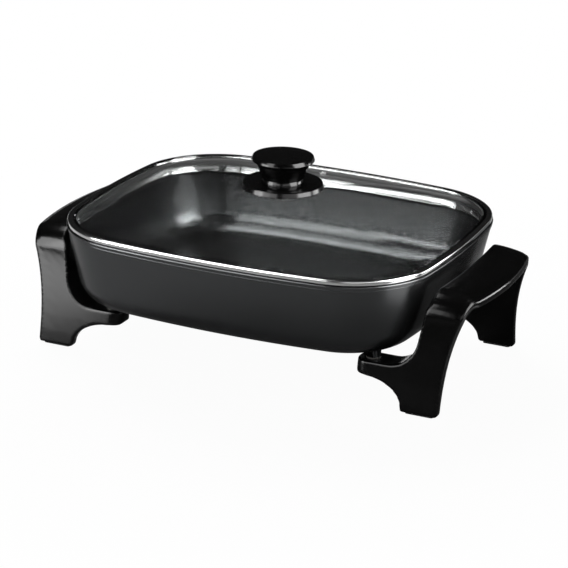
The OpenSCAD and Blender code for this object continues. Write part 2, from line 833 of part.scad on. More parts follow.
module vent_eyelet()
    color("silver")
        at_vent()
            rotate_extrude()
                polygon([
                    [1.6, -glass_t - 0.9], [vent_hole_d / 2 + 0.8, -glass_t - 0.9], [vent_hole_d / 2 + 0.8, -glass_t - 0.4],
                    [vent_hole_d / 2 - seat_play, -glass_t - 0.4], [vent_hole_d / 2 - seat_play, 0.25],
                    [vent_hole_d / 2 + 0.9, 0.25], [vent_hole_d / 2 + 0.9, 0.55],
                    [vent_hole_d / 2, 1], [1.9, 1], [1.6, 0.7]]);

// ---------------------------------------------------------------- knob
shield_z = apex_z + gasket_t;
shield_top = shield_z + shield_t;
knob_top = shield_top + knob_h;
collar_r = knob_d * 0.323;
collar_h = 4.4;
insert_d = 9;
insert_z = shield_top + 4;
insert_l = 14;
knob_screw_d = 5;
gasket_r = 18;

module knob_gasket()
    color("black")
        translate([0, 0, apex_z])
            difference() {
                cylinder(r1 = gasket_r, r2 = gasket_r - 1, h = gasket_t);
                translate([0, 0, -over])
                    cylinder(d = knob_hole_d, h = gasket_t + 2 * over);
            }

module knob_shield()
    color("black")
        rotate_extrude() {
            r = shield_d / 2;
            polygon([
                [knob_hole_d / 2, shield_z], [r - 1.4, shield_z], [r - 0.4, shield_z + 0.3],
                [r, shield_z + 1.1], [r - 1.2, shield_top - 0.7], [r - 1.9, shield_top - 0.1],
                [r - 2.6, shield_top], [collar_r + 4, shield_top - 0.4], [knob_hole_d / 2, shield_top - 0.4]]);
        }

// Outline of the grip: collar, flaring neck and a crowned top with an undercut lip
module knob_grip()
    color("black")
        difference() {
            rotate_extrude() {
                r = knob_d / 2;
                low = shield_top - 0.4;
                polygon(concat(
                    [[0, low], [collar_r, low], [collar_r + 0.2, low + 0.6], [collar_r + 0.2, low + collar_h - 0.5],
                     [collar_r, low + collar_h], [collar_r + 0.9, low + collar_h + 0.5]],
                    [for (i = [0 : 7]) let (k = i / 7)
                        [collar_r + 1.2 + (r - 4 - collar_r - 1.2) * pow(k, 1.5),
                         low + collar_h + 1.4 + (knob_h - collar_h - 9.4) * k]],
                    [[r - 0.7, knob_top - 3.6], [r - 0.1, knob_top - 2.9], [r, knob_top - 2.3], [r - 0.5, knob_top - 1.7]],
                    [for (k = [0.93, 0.8, 0.6, 0.4, 0.2, 0]) [k * r, knob_top - 1.8 * k * k]]));
            }
            translate([0, 0, shield_top - over])
                cylinder(d = knob_screw_d + 2 * hole_play, h = insert_z - shield_top + over + 0.1);
            translate([0, 0, insert_z])
                cylinder(d = insert_d, h = insert_l + 2);
        }

module knob_insert()
    color("goldenrod")
        translate([0, 0, insert_z])
            difference() {
                cylinder(d = insert_d, h = insert_l);
                translate([0, 0, -over])
                    cylinder(d = knob_screw_d, h = insert_l + 2 * over);
            }

under_z = apex_z - glass_t;
underseal_t = 1.6;
underseal_r = 11;
washer_t = 1.2;
washer_r = 9.5;

module knob_underseal()
    color("dimgray")
        translate([0, 0, under_z - underseal_t])
            difference() {
                cylinder(r = underseal_r, h = underseal_t);
                translate([0, 0, -over])
                    cylinder(d = knob_hole_d, h = underseal_t + 2 * over);
            }

module knob_washer()
    color("silver")
        translate([0, 0, under_z - underseal_t - washer_t])
            difference() {
                cylinder(r = washer_r, h = washer_t);
                translate([0, 0, -over])
                    cylinder(d = knob_screw_d + 2 * hole_play, h = washer_t + 2 * over);
            }

module knob_screw()
    color("silver") {
        seat = under_z - underseal_t - washer_t;
        translate([0, 0, seat])
            screw(knob_screw_d - 0.1, insert_z + insert_l - 2 - seat);
    }

pan_body();
heating_element();
terminal_pins();
pin_insulators();
inlet_guard();
inlet_screws();
left_handle_frame();
right_handle_frame();
frame_screws();
spacer(-1, -1);  // left_front_spacer
spacer(-1, 1);  // left_rear_spacer
spacer(1, -1);  // right_front_spacer
spacer(1, 1);  // right_rear_spacer
foot(-1, -1);  // left_front_foot
foot(-1, 1);  // left_rear_foot
foot(1, -1);  // right_front_foot
foot(1, 1);  // right_rear_foot
lid_glass();
lid_ring();
lid_seal();
vent_eyelet();
knob_shield();
knob_grip();
knob_insert();
knob_gasket();
knob_underseal();
knob_washer();
knob_screw();
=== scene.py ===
"""Electric skillet: finishes, smooth outer pieces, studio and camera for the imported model."""
import json
import math

import bpy
from mathutils import Matrix, Vector


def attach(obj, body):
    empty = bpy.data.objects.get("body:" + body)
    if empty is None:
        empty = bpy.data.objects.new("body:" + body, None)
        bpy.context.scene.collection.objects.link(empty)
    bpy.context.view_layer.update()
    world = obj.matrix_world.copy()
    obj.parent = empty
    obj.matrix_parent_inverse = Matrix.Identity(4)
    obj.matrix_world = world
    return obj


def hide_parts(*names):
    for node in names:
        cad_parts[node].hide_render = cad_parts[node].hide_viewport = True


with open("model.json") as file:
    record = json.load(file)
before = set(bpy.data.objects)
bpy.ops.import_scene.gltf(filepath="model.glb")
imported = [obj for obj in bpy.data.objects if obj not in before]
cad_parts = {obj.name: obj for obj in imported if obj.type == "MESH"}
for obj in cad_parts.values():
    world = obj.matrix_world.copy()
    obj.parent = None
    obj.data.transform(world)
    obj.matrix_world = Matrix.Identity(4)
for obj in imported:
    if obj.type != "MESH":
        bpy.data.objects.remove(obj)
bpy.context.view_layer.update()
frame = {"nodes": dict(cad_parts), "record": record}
nodes = frame["nodes"]

# Lengths and places are written in millimetres, and angles in degrees, where nothing else is said.
# MM brings a length to Blender's metres.
MM = 0.001


# ---------------------------------------------------------------- camera

CAMERA = {
    "azimuth": 24.19, "elevation": 19.97, "roll": 1.55, "distance": 2576.2,
    "lens": 167.09, "sensor": 36, "sight_m": 50}
LOOK_AT = Vector((3.85, 1.22, 63.04))


def set_camera():
    """Stands the camera to the right of the front, looking a little down."""
    azimuth, elevation, roll = (math.radians(CAMERA[k]) for k in ("azimuth", "elevation", "roll"))
    level = math.cos(elevation)
    back = Vector((math.sin(azimuth) * level, -math.cos(azimuth) * level, math.sin(elevation)))
    right = Vector((math.cos(azimuth), math.sin(azimuth), 0))
    up = back.cross(right)
    across = math.cos(roll) * right + math.sin(roll) * up
    upward = math.cos(roll) * up - math.sin(roll) * right
    data = bpy.data.cameras.new("camera")
    data.lens = CAMERA["lens"]
    data.sensor_width = CAMERA["sensor"]
    data.clip_end = CAMERA["sight_m"]
    camera = bpy.data.objects.new("camera", data)
    bpy.context.scene.collection.objects.link(camera)
    place = (LOOK_AT + CAMERA["distance"] * back) * MM
    turn = Matrix((across, upward, back)).transposed().to_4x4()
    camera.matrix_world = Matrix.Translation(place) @ turn
    bpy.context.scene.camera = camera


# ---------------------------------------------------------------- shader maths


class Wire:
    """A number that runs over a surface. Arithmetic on wires adds Math nodes."""

    def __init__(self, finish, socket):
        self.finish = finish
        self.socket = socket

    def _math(self, operation, *values):
        return self.finish.add("ShaderNodeMath", {"operation": operation}, dict(enumerate(values)))

    def __add__(self, other):
        return self._math("ADD", self, other)

    def __sub__(self, other):
        return self._math("SUBTRACT", self, other)

    def __rsub__(self, other):
        return self._math("SUBTRACT", other, self)

    def __mul__(self, other):
        return self._math("MULTIPLY", self, other)

    __radd__ = __add__
    __rmul__ = __mul__

    def limited(self, low, high):
        """Runs from 0 at low to 1 at high, and stays there beyond them."""
        span = {"Value": self, "From Min": low, "From Max": high}
        return self.finish.add("ShaderNodeMapRange", {"clamp": True}, span)


class Finish:
    """One node tree: a material's, or the world's."""

    # Sockets of the Mix node on colours, by their place
    MIX_FACTOR, MIX_LOW, MIX_HIGH, MIX_RESULT = 0, 6, 7, 2

    def __init__(self, owner):
        owner.use_nodes = True
        self.owner = owner
        self.tree = owner.node_tree
        self.tree.nodes.clear()

    def add(self, kind, settings=None, values=None, out=0):
        """Adds a node with its settings and its sockets' values or links, and returns one of its outputs."""
        node = self.tree.nodes.new(kind)
        for name, value in (settings or {}).items():
            setattr(node, name, value)
        for key, value in (values or {}).items():
            if isinstance(value, Wire):
                self.tree.links.new(value.socket, node.inputs[key])
            else:
                node.inputs[key].default_value = value
        return None if out is None else Wire(self, node.outputs[out])

    def mix(self, low, high, factor):
        """A colour that goes from low to high as the factor goes from 0 to 1."""
        values = {self.MIX_FACTOR: factor, self.MIX_LOW: low, self.MIX_HIGH: high}
        return self.add("ShaderNodeMix", {"data_type": "RGBA"}, values, out=self.MIX_RESULT)

    def place(self):
        """The point of the surface, in metres."""
        return self.add("ShaderNodeTexCoord", out="Object")

    def along(self, vector, axes):
        """The vector's parts along the axes that are named."""
        return (self.add("ShaderNodeSeparateXYZ", {}, {0: vector}, out=axis) for axis in axes)

    def noise(self, blot, detail):
        """Noise from 0 to 1 whose blots are about as wide as blot."""
        values = {"Vector": self.place(), "Scale": 1 / MM / blot, "Detail": detail}
        return self.add("ShaderNodeTexNoise", {}, values, out="Fac")

    def bump(self, height, depth, strength):
        """A normal that rises and falls by depth as the height goes from 0 to 1."""
        values = {"Height": height, "Strength": strength, "Distance": depth * MM}
        return self.add("ShaderNodeBump", {}, values)

    def light_path(self, name):
        return self.add("ShaderNodeLightPath", out=name)

    def show(self, shader, kind="ShaderNodeOutputMaterial"):
        """Leads the shader to the output node, and returns the material or the world."""
        self.add(kind, {}, {"Surface": shader}, out=None)
        return self.owner


def material(name):
    return Finish(bpy.data.materials.new(name))


def grey(level, tint=(1.0, 1.0, 1.0)):
    """A grey of a level from 0 to 1, with a tint."""
    return (level * tint[0], level * tint[1], level * tint[2], 1.0)


# ---------------------------------------------------------------- finishes


def coated_metal():
    """Charcoal non-stick coating with fine metal flake and faint clouds."""
    finish = material("pan_coating")
    flake = finish.noise(blot=0.7, detail=3.0)
    cloud = finish.noise(blot=45, detail=3.0)
    dark = grey(0.048, (0.97, 1.0, 1.03))
    light = grey(0.066, (0.98, 1.0, 1.02))
    return finish.show(finish.add("ShaderNodeBsdfPrincipled", {}, {
        "Base Color": finish.mix(dark, light, flake * 0.75 + cloud * 0.25),
        "Metallic": 0.97,
        "Roughness": 0.235 + 0.02 * cloud,
        "Specular Tint": grey(0.7),
        "Normal": finish.bump(flake, depth=0.02, strength=0.35)}))


def moulded_plastic(name, level, roughness, specular):
    """Black heat-resistant moulding with a fine spark-eroded grain."""
    finish = material(name)
    grain = finish.noise(blot=0.5, detail=3.0)
    cloud = finish.noise(blot=30, detail=2.0)
    return finish.show(finish.add("ShaderNodeBsdfPrincipled", {}, {
        "Base Color": finish.mix(grey(level * 0.8), grey(level * 1.25), cloud),
        "Roughness": roughness + 0.06 * (cloud - 0.5),
        "Specular IOR Level": specular,
        "Normal": finish.bump(grain, depth=0.008, strength=0.3)}))


def steel(name, level, roughness):
    """Steel with the fine grain of its polishing."""
    finish = material(name)
    grain = finish.noise(blot=0.6, detail=2.0)
    return finish.show(finish.add("ShaderNodeBsdfPrincipled", {}, {
        "Base Color": finish.mix(grey(level * 0.94), grey(level), grain),
        "Metallic": 1.0,
        "Roughness": roughness + 0.05 * grain,
        "Normal": finish.bump(grain, depth=0.004, strength=0.25)}))


def plain_finish(name, level, roughness, tint=(1.0, 1.0, 1.0), metallic=0.0):
    """Rubber, ceramic, board or plain metal with a fine grain."""
    finish = material(name)
    grain = finish.noise(blot=0.5, detail=3.0)
    return finish.show(finish.add("ShaderNodeBsdfPrincipled", {}, {
        "Base Color": finish.mix(grey(level * 0.85, tint), grey(level, tint), grain),
        "Metallic": metallic,
        "Roughness": roughness + 0.08 * (grain - 0.5),
        "Normal": finish.bump(grain, depth=0.02, strength=0.3)}))


def clear_glass():
    """Clear, faintly wavy glass that throws only the pale shadow of a thin pane."""
    finish = material("lid_glass")
    waves = finish.noise(blot=60, detail=1.0)
    glass = finish.add("ShaderNodeBsdfPrincipled", {}, {
        "Base Color": grey(0.975, (0.985, 1.0, 0.995)),
        "Roughness": 0.0,
        "IOR": 1.45,
        "Transmission Weight": 1.0,
        "Normal": finish.bump(waves, depth=0.05, strength=0.1)})
    pane = finish.add("ShaderNodeBsdfTransparent", {}, {"Color": grey(0.93)})
    shadow = finish.light_path("Is Shadow Ray")
    return finish.show(finish.add("ShaderNodeMixShader", {}, {0: shadow, 1: glass, 2: pane}))


# ---------------------------------------------------------------- studio

WHITE = grey(1.0)

# The floor is a disc of paper. Its radius and the spans are in metres from the middle of the object.
FLOOR_R, FLOOR_CORNERS = 7, 96
PAPER, DARK_PAPER = grey(0.82), grey(0.08)
# In mirrored light the paper darkens over DARK_FAR, and where it is both to the right and behind. That patch
# is painted shade, standing in for the dark handle that the pan's right end mirrors
DARK_FAR = (0.5, 0.9)
SHADE_PATCH_RIGHT = (0.17, 0.21)
SHADE_PATCH_BEHIND = (0.0, 0.06)
# The share of glow in the paper's white grows from GLOW_NEAR to all of it over GLOW_SPAN, so that the
# shadow shows near the object
GLOW_NEAR, GLOW_SPAN, GLOW_MIRRORED = 0.965, (0.3, 0.6), 0.05

# The room's greys in mirrored light, and in light that matt surfaces get
HORIZON_LEFT, HORIZON_RIGHT = grey(0.06), grey(0.8)
ROOM, CEILING, ROOM_FOR_MATT = grey(0.008), grey(0.1), grey(0.25)
# Where they change, as parts of the direction to the right and upwards
LEFT_TO_RIGHT = (-0.45, 0.3)
HORIZON_TO_ROOM = (0.0, 0.12)
ROOM_TO_CEILING = (0.6, 0.85)

# Name, place, aim, size, watts, and the surfaces that it lights: matt ones, or glossy ones and glass
LAMPS = [
    ("overhead", (-850, 800, 1150), (0, 0, 0), (1100, 1100), 28, "matt"),
    ("near_left_box", (-640, -640, 272), (-200, -95, 272), (420, 538), 11.4, "gloss"),
    ("front_wall", (-740, -1420, 930), (-740, 0, 930), (880, 1500), 34, "gloss"),
    ("near_strip", (-10, -600, 295), (0, 0, 295), (233, 176), 0.7, "gloss"),
    ("near_right_strip", (460, -386, 295), (0, 0, 295), (572, 176), 0.95, "gloss"),
    ("front_left_top", (-532, -496, 1312), (0, 0, 60), (450, 300), 2.2, "gloss"),
    ("left_top", (-560, 0, 1390), (0, 0, 60), (500, 700), 11, "gloss"),
    ("right_top", (868, 316, 1182), (0, 0, 60), (600, 420), 5, "gloss"),
    ("right_wall", (1040, -30, 560), (0, 0, 200), (800, 1000), 44, "gloss"),
    ("right_floor", (500, -55, 1), (500, -55, 500), (340, 240), 0.55, "gloss"),
    ("back_right_box", (860, 640, 190), (235, -60, 110), (420, 260), 5, "gloss"),
]


def bounced(finish, kind="Glossy"):
    """1 for rays that have met a glossy (or a matt) surface on their way, also when glass came after it."""
    return finish.light_path(kind + " Depth").limited(0, 1)


def seen_rays(finish, straight, mirrored):
    """The share of glow for rays that show the background: one straight or through glass, one mirrored."""
    camera, glass, glossy = (
        finish.light_path(name) for name in ("Is Camera Ray", "Is Transmission Ray", "Is Glossy Ray"))
    seen = (camera + glass + glossy).limited(0, 1)
    mirror = bounced(finish)
    return seen * (straight * (1 - mirror) + mirrored * mirror)


def set_floor():
    """White paper, dark in mirrored light far away and with a patch of painted shade behind the right end."""
    bpy.ops.mesh.primitive_circle_add(vertices=FLOOR_CORNERS, radius=FLOOR_R, fill_type="NGON")
    floor = bpy.context.object
    floor.name = "floor"
    finish = material("floor_paper")
    away = finish.add("ShaderNodeVectorMath", {"operation": "LENGTH"}, {0: finish.place()}, out="Value")
    right, behind = finish.along(finish.place(), "XY")
    # A patch of painted shade, seen only in mirrored light, for the dark handle that the pan's right end
    # mirrors
    painted_shade_patch = right.limited(*SHADE_PATCH_RIGHT) * behind.limited(*SHADE_PATCH_BEHIND)
    dark = (away.limited(*DARK_FAR) + painted_shade_patch).limited(0, 1)
    colour = finish.mix(PAPER, DARK_PAPER, bounced(finish) * dark)
    paper = finish.add("ShaderNodeBsdfDiffuse", {}, {"Color": colour})
    glow = finish.add("ShaderNodeEmission", {}, {"Color": WHITE, "Strength": 1.0})
    near_to_far = GLOW_NEAR + (1 - GLOW_NEAR) * away.limited(*GLOW_SPAN)
    share = seen_rays(finish, near_to_far, GLOW_MIRRORED)
    floor.data.materials.append(finish.show(
        finish.add("ShaderNodeMixShader", {}, {0: share, 1: paper, 2: glow})))


def set_world():
    """White to the eye and through glass. Mirrored, it is a dark room, lighter low on the right and above."""
    finish = Finish(bpy.data.worlds.new("studio"))
    way = finish.add("ShaderNodeTexCoord", out="Generated")
    right, up = finish.along(way, "XZ")
    horizon = finish.mix(HORIZON_LEFT, HORIZON_RIGHT, right.limited(*LEFT_TO_RIGHT))
    wall = finish.mix(horizon, ROOM, up.limited(*HORIZON_TO_ROOM))
    room = finish.mix(wall, CEILING, up.limited(*ROOM_TO_CEILING))
    sharp = finish.mix(WHITE, room, bounced(finish))
    colour = finish.mix(sharp, ROOM_FOR_MATT, bounced(finish, "Diffuse"))
    background = finish.add("ShaderNodeBackground", {}, {"Color": colour, "Strength": 1.0})
    bpy.context.scene.world = finish.show(background, "ShaderNodeOutputWorld")


def add_lamp(name, place, aim, size, watts, lights):
    """An area lamp that the camera doesn't see, for matt surfaces or for glossy ones and glass."""
    data = bpy.data.lights.new(name, "AREA")
    data.shape = "RECTANGLE"
    data.size = size[0] * MM
    data.size_y = size[1] * MM
    data.energy = watts
    lamp = bpy.data.objects.new(name, data)
    bpy.context.scene.collection.objects.link(lamp)
    lamp.location = Vector(place) * MM
    lamp.rotation_euler = (Vector(aim) - Vector(place)).to_track_quat("-Z", "Y").to_euler()
    lamp.visible_camera = False
    lamp.visible_diffuse = lights == "matt"
    lamp.visible_glossy = lamp.visible_transmission = lights == "gloss"


# ---------------------------------------------------------------- outline of the pan and lid

# Half the length and half the width of the pan over its lip
HALF_L, HALF_W = 190.0, 161.94
# Radii of the corners, the bowed long sides and the bowed ends
CORNER_R, SIDE_R, END_R = 88.0, 990.0, 860.0
# Steps of their arcs, where an end has two halves
CORNER_STEPS, SIDE_STEPS, HALF_END_STEPS = 20, 12, 5


def tangent_arcs():
    """Centres and angles of the bowed sides, the bowed ends and the corners that join them."""
    side, end = Vector((0, HALF_W - SIDE_R)), Vector((HALF_L - END_R, 0))
    gap = (end - side).length
    along = ((SIDE_R - CORNER_R) ** 2 - (END_R - CORNER_R) ** 2 + gap**2) / (2 * gap)
    off = math.sqrt((SIDE_R - CORNER_R) ** 2 - along**2)
    toward = (end - side) / gap
    corner = side + along * toward + off * Vector((toward.y, -toward.x))
    side_angle = math.atan2(corner.y - side.y, corner.x - side.x)
    end_angle = math.atan2(corner.y, corner.x - end.x)
    return side, end, corner, side_angle, end_angle


SIDE_C, END_C, CORNER_C, SIDE_A, END_A = tangent_arcs()
CORNER_TURN = SIDE_A - END_A
SIDE_TURN = math.pi - 2 * SIDE_A
# Each arc round the outline from the middle of the right end: centre, turn in radians, and steps
ROUND_THE_OUTLINE = [
    ((END_C.x, 0), END_A, HALF_END_STEPS),
    ((CORNER_C.x, CORNER_C.y), CORNER_TURN, CORNER_STEPS),
    ((0, SIDE_C.y), SIDE_TURN, SIDE_STEPS),
    ((-CORNER_C.x, CORNER_C.y), CORNER_TURN, CORNER_STEPS),
    ((-END_C.x, 0), 2 * END_A, 2 * HALF_END_STEPS),
    ((-CORNER_C.x, -CORNER_C.y), CORNER_TURN, CORNER_STEPS),
    ((0, -SIDE_C.y), SIDE_TURN, SIDE_STEPS),
    ((CORNER_C.x, -CORNER_C.y), CORNER_TURN, CORNER_STEPS),
    ((END_C.x, 0), END_A, HALF_END_STEPS),
]


# ---------------------------------------------------------------- modelling

# Points nearer than this are merged, in a drawn piece and in a copy of a solid
SAME_DRAWN_POINT, SAME_SOLID_POINT = 0.004, 0.002
# Points nearer to a level than this lie on it
ON_LEVEL = 0.05
# An edge with a larger angle stays sharp
SHARP, SHARP_ON_RING, SHARP_ON_GLASS = 30, 40, 60
# Steps of a full turn
ROUND_STEPS = 96


def arc(centre, radius, start, end, steps):
    """Points of an arc."""
    turns = [math.radians(start + (end - start) * i / steps) for i in range(steps + 1)]
    return [(centre[0] + radius * math.cos(a), centre[1] + radius * math.sin(a)) for a in turns]


def pick(piece):
    """Makes the piece the only selected one, and the active one."""
    bpy.ops.object.select_all(action="DESELECT")
    piece.select_set(True)
    bpy.context.view_layer.objects.active = piece


def edit(piece):
    """Opens the piece in edit mode, with all of it selected."""
    pick(piece)
    bpy.ops.object.mode_set(mode="EDIT")
    bpy.ops.mesh.select_all(action="SELECT")


def merge_points(distance):
    bpy.ops.mesh.select_all(action="SELECT")
    bpy.ops.mesh.remove_doubles(threshold=distance * MM)


def leave_edit(sharp=SHARP):
    """Goes back to object mode and shades all but the sharp edges smooth."""
    bpy.ops.object.mode_set(mode="OBJECT")
    bpy.ops.object.shade_smooth_by_angle(angle=math.radians(sharp))


def draw_section(name, points):
    """Draws a line through points of X and Z by extruding one vertex from each to the next."""
    bpy.ops.object.select_all(action="DESELECT")
    bpy.ops.mesh.primitive_plane_add(size=MM)
    piece = bpy.context.object
    piece.name = piece.data.name = name
    bpy.ops.object.mode_set(mode="EDIT")
    bpy.ops.mesh.select_mode(type="VERT")
    bpy.ops.mesh.select_all(action="SELECT")
    bpy.ops.mesh.merge(type="CENTER")
    bpy.ops.transform.translate(value=(points[0][0] * MM, 0, points[0][1] * MM))
    for (x0, z0), (x1, z1) in zip(points, points[1:]):
        step = ((x1 - x0) * MM, 0, (z1 - z0) * MM)
        bpy.ops.mesh.extrude_region_move(TRANSFORM_OT_translate={"value": step})
    bpy.ops.mesh.select_all(action="SELECT")
    return piece


def close_up(piece, sharp=SHARP):
    """Merges what meets, turns the faces outwards and shades the piece."""
    merge_points(SAME_DRAWN_POINT)
    bpy.ops.mesh.normals_make_consistent(inside=False)
    leave_edit(sharp)
    return piece


def select_open_edges(piece, level):
    """Selects the open edges that lie on a level."""
    bpy.ops.mesh.select_all(action="DESELECT")
    bpy.ops.mesh.select_mode(type="EDGE")
    bpy.ops.mesh.select_non_manifold(
        extend=False, use_wire=False, use_multi_face=False, use_non_contiguous=False, use_verts=False)
    bpy.ops.object.mode_set(mode="OBJECT")
    points = piece.data.vertices
    for edge in piece.data.edges:
        on_level = all(abs(points[v].co.z - level * MM) < ON_LEVEL * MM for v in edge.vertices)
        edge.select = edge.select and on_level
    bpy.ops.object.mode_set(mode="EDIT")


def sweep_outline(name, section):
    """Spins a section along every arc of the outline. In it X is 0 at the outline and falls inwards."""
    piece = draw_section(name, [(HALF_L + x, z) for x, z in section])
    for centre, turn, steps in ROUND_THE_OUTLINE:
        middle = (centre[0] * MM, centre[1] * MM, 0)
        bpy.ops.mesh.spin(steps=steps, angle=-turn, center=middle, axis=(0, 0, 1))
    return piece


def turn_piece(name, section):
    """Spins a closed section once round the knob's axis."""
    piece = draw_section(name, section + section[:1])
    bpy.ops.mesh.spin(steps=ROUND_STEPS, angle=math.tau, center=(0, 0, 0), axis=(0, 0, 1))
    return close_up(piece)


def solid_copy(node, name):
    """A merged copy of a node's solid, to be worked on."""
    piece = nodes[node].copy()
    piece.data = piece.data.copy()
    piece.name = piece.data.name = name
    piece.parent = None
    piece.matrix_world = Matrix()
    piece.hide_render = piece.hide_viewport = False
    bpy.context.scene.collection.objects.link(piece)
    edit(piece)
    merge_points(SAME_SOLID_POINT)
    leave_edit()
    return piece


def modify(piece, kind, **settings):
    """Adds a modifier and applies it."""
    modifier = piece.modifiers.new(kind.lower(), kind)
    for key, value in settings.items():
        setattr(modifier, key, value)
    pick(piece)
    bpy.ops.object.modifier_apply(modifier=modifier.name)


# ---------------------------------------------------------------- pan

RIM_Z, FLOOR_Z, UNDERSIDE_Z = 130.5, 58.0, 53.0


def make_pan():
    """Cast pan: rolled lip, sloping wall, wide base curve and floor."""
    draft, wall, base_r, curve_steps = 12.5, 3.2, 30.0, 14
    lip_width, lip_height, overhang = 7, 4.6, 1.2
    outer_round, inner_round = 1.1, 0.9
    floor_edge = -78
    slope = math.radians(draft)
    under_lip = RIM_Z - lip_height

    def wall_x(z, depth):
        return -(overhang + depth / math.cos(slope) + math.tan(slope) * (under_lip - z))

    def curve_centre(depth, radius, z):
        tangent_z = z + radius - radius * math.sin(slope)
        return wall_x(tangent_z, depth) - radius * math.cos(slope), z + radius

    inner_r = base_r - wall
    lip_foot = under_lip - (lip_width - overhang - wall / math.cos(slope)) / math.tan(slope)
    section = (
        [(floor_edge, UNDERSIDE_Z)]
        + arc(curve_centre(0, base_r, UNDERSIDE_Z), base_r, -90, -draft, curve_steps)
        # The hollow under the lip, and the lip's two rounded edges
        + arc((-1.9, under_lip - 0.1), 0.7, -draft, 40, 3)
        + [(-0.5, under_lip + 0.5)]
        + arc((-outer_round, RIM_Z - outer_round), outer_round, 0, 90, 6)
        + arc((inner_round - lip_width, RIM_Z - inner_round), inner_round, 90, 180, 4)
        # The soft corner where the lip's inside meets the wall
        + [(-lip_width, lip_foot + 0.6), (-lip_width - 0.1, lip_foot - 0.4)]
        + arc(curve_centre(wall, inner_r, FLOOR_Z), inner_r, -draft, -90, curve_steps)
        + [(floor_edge, FLOOR_Z)])
    piece = sweep_outline("pan_body_finished", section)
    merge_points(SAME_DRAWN_POINT)
    for level in (UNDERSIDE_Z, FLOOR_Z):
        select_open_edges(piece, level)
        bpy.ops.mesh.edge_face_add()
    return close_up(piece)


def make_underside():
    """The ridge round the element and the bosses, cut from the pan's solid where they meet its underside."""
    inside, on_face = 0.4, 0.02
    piece = solid_copy("pan_body", "pan_underside")
    edit(piece)
    bpy.ops.mesh.bisect(
        plane_co=(0, 0, (UNDERSIDE_Z + inside) * MM), plane_no=(0, 0, 1), clear_outer=True)
    bpy.ops.mesh.select_all(action="DESELECT")
    bpy.ops.object.mode_set(mode="OBJECT")
    for face in piece.data.polygons:
        face.select = face.center.z > (UNDERSIDE_Z - on_face) * MM
    bpy.ops.object.mode_set(mode="EDIT")
    bpy.ops.mesh.delete(type="FACE")
    bpy.ops.object.mode_set(mode="OBJECT")
    return piece


# ---------------------------------------------------------------- lid

LID_Z = RIM_Z + 0.3
# The ring: how far it stands inside the outline, its leg inside its band, and its sheet's thickness
RING_IN, LEG_IN, SHEET = 1, 7.6, 0.7
GLASS_SEAT_Z, GLASS_T = 131.7, 3.2
# The dome: its rise, the power of its curve, its rings, and the share of it that is flat at the top
DOME_H, DOME_POWER, DOME_RINGS, FLAT = 24.0, 2.2, 26, 0.13


def make_ring():
    """Polished steel ring: rolled outer band, top flange, and an upright leg that drops inside the pan."""
    top = LID_Z + 5
    top_r, inner_top_r, low_r, inner_low_r = 1.8, 1.7, 1.2, 1.5
    flange, drop = 5.4, 12.4
    section = (
        # Inside the band, up to the flange's edge
        [(-LEG_IN - SHEET, LID_Z + SHEET), (-inner_low_r, LID_Z + SHEET)]
        + arc((-inner_low_r, LID_Z + inner_low_r), inner_low_r - SHEET, -90, 0, 3)
        + [(-SHEET, top - 1.9)]
        + arc((-inner_top_r, top - inner_top_r), inner_top_r - SHEET, 0, 90, 4)
        + [(-flange, top - SHEET - 0.1), (-flange, top - 0.15)]
        # Outside, over the top and down to the leg
        + arc((-top_r, top - top_r), top_r, 90, 0, 8)
        + arc((-low_r, LID_Z + low_r), low_r, 0, -90, 5)
        # The leg with its turned-in foot
        + [(-LEG_IN, LID_Z), (-LEG_IN, LID_Z - drop), (-LEG_IN - 1.6 * SHEET, LID_Z - drop),
           (-LEG_IN - SHEET, LID_Z - drop + 0.6), (-LEG_IN - SHEET, LID_Z + SHEET)])
    piece = sweep_outline("lid_ring_finished", [(x - RING_IN, z) for x, z in section])
    return close_up(piece, SHARP_ON_RING)


def make_seal():
    """Black silicone ring inside the leg, up to the underside of the glass."""
    low, high = LID_Z + SHEET - 5, LID_Z + 0.9
    leg_face = RING_IN + LEG_IN + SHEET
    section = [
        (0, low), (0, high), (-1.2, high), (-1.6, high - 0.4), (-1.9, low + 0.6), (-1.3, low), (0, low)]
    return close_up(sweep_outline("lid_seal_finished", [(x - leg_face, z) for x, z in section]))


def make_glass():
    """Domed glass: its edge loop is drawn in, ring after ring, and then given its thickness."""
    top = GLASS_SEAT_Z + GLASS_T
    ground_edge = [(-2.6, top - 0.6), (-2.9, top - 0.15), (-3.4, top), (-11.5, top)]
    piece = close_up(sweep_outline("lid_glass_finished", ground_edge))
    edit(piece)
    select_open_edges(piece, top)
    last = 1.0
    for ring in range(1, DOME_RINGS + 1):
        reach = 1 - (1 - FLAT) * ring / DOME_RINGS
        rise = DOME_H * (last**DOME_POWER - reach**DOME_POWER)
        bpy.ops.mesh.extrude_edges_move(TRANSFORM_OT_translate={"value": (0, 0, rise * MM)})
        bpy.ops.transform.resize(value=(reach / last, reach / last, 1), center_override=(0, 0, 0))
        last = reach
    bpy.ops.mesh.edge_face_add()
    close_up(piece, SHARP_ON_GLASS)
    modify(piece, "SOLIDIFY", thickness=GLASS_T * MM, offset=-1)
    return piece


# ---------------------------------------------------------------- handle frames

SOFTEN_VOXEL, SOFTEN_FACTOR, SOFTEN_ROUNDS = 0.9, 0.5, 16


def make_frame(node):
    """A handle frame with its edges softened as a mould leaves them."""
    piece = solid_copy(node, node + "_finished")
    modify(piece, "REMESH", mode="VOXEL", voxel_size=SOFTEN_VOXEL * MM, use_smooth_shade=True)
    modify(piece, "SMOOTH", factor=SOFTEN_FACTOR, iterations=SOFTEN_ROUNDS)
    return piece


# ---------------------------------------------------------------- knob

SHIELD_Z, SHIELD_TOP, KNOB_TOP = 162.63, 168.23, 195.23
# The shield's top is dished, and the knob stands in the dish
DISH = 0.4


